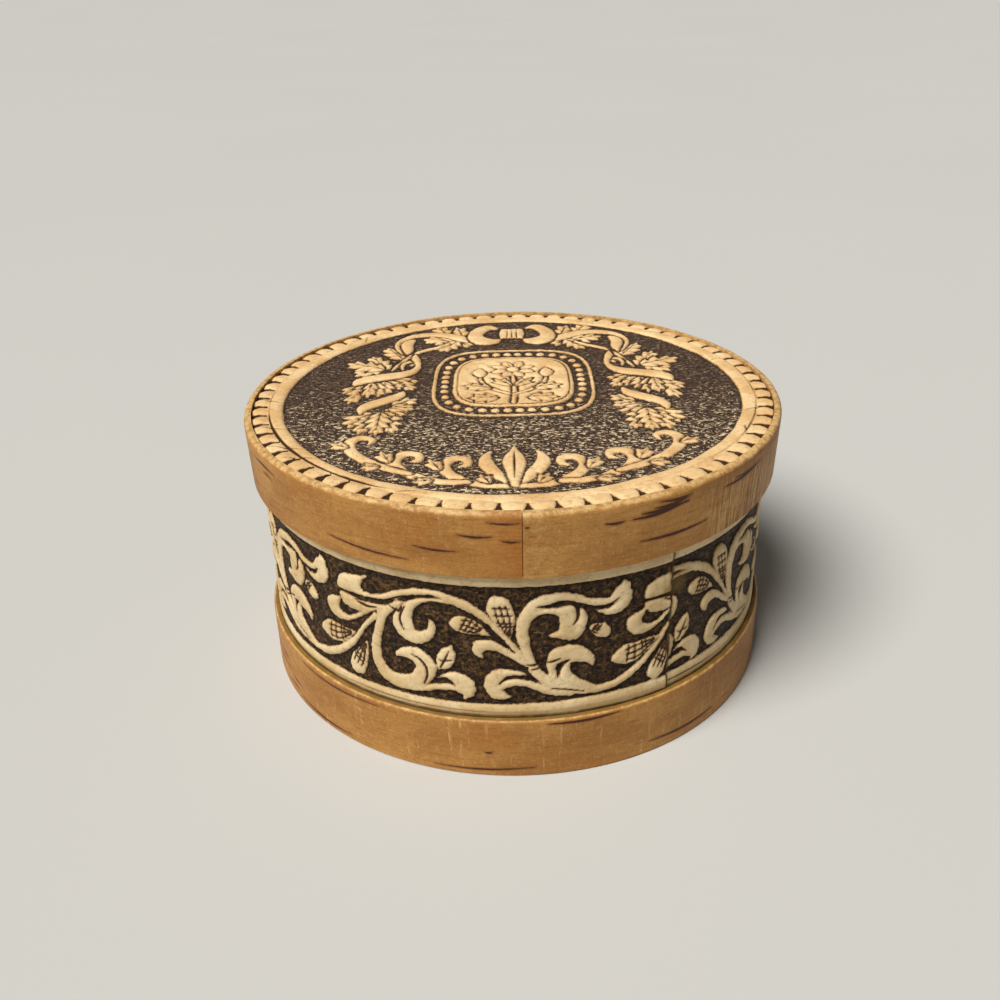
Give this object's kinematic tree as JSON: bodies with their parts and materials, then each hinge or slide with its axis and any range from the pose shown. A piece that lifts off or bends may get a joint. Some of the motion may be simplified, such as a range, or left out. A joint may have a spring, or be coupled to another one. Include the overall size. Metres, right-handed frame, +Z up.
{
  "type": "trinket box",
  "caption": "Round birch-bark trinket box with an embossed wall and a lift-off lid that fits on an inner neck.",
  "frame": {"origin": "centre of the underside, on the surface the box stands on", "axes": "+Z up, along the box's axis and the way the lid lifts; -Y to the front, where the rim hoop's seam is; +X to the right"},
  "size_m": [0.11, 0.1103, 0.0565],
  "materials": {
    "plain_bark": "satin",
    "embossed_bark": "satin",
    "inner_bark": "satin",
    "pale_wood": "matte"
  },
  "bodies": {
    "box": {"bottom_board": "pale_wood", "bottom_lining": "inner_bark", "inner_wall": "inner_bark", "embossed_band": "embossed_bark", "base_hoop": "plain_bark"},
    "lid": {"lid_top_panel": "embossed_bark", "lid_board": "pale_wood", "lid_lining": "inner_bark", "lid_inner_ring": "inner_bark", "lid_rim_hoop": "plain_bark"}
  },
  "joints": [
    {"name": "lid_lift", "type": "slide", "parent": "box", "child": "lid", "axis": [0, 0, 1], "range_m": [0, 0.06]}
  ]
}
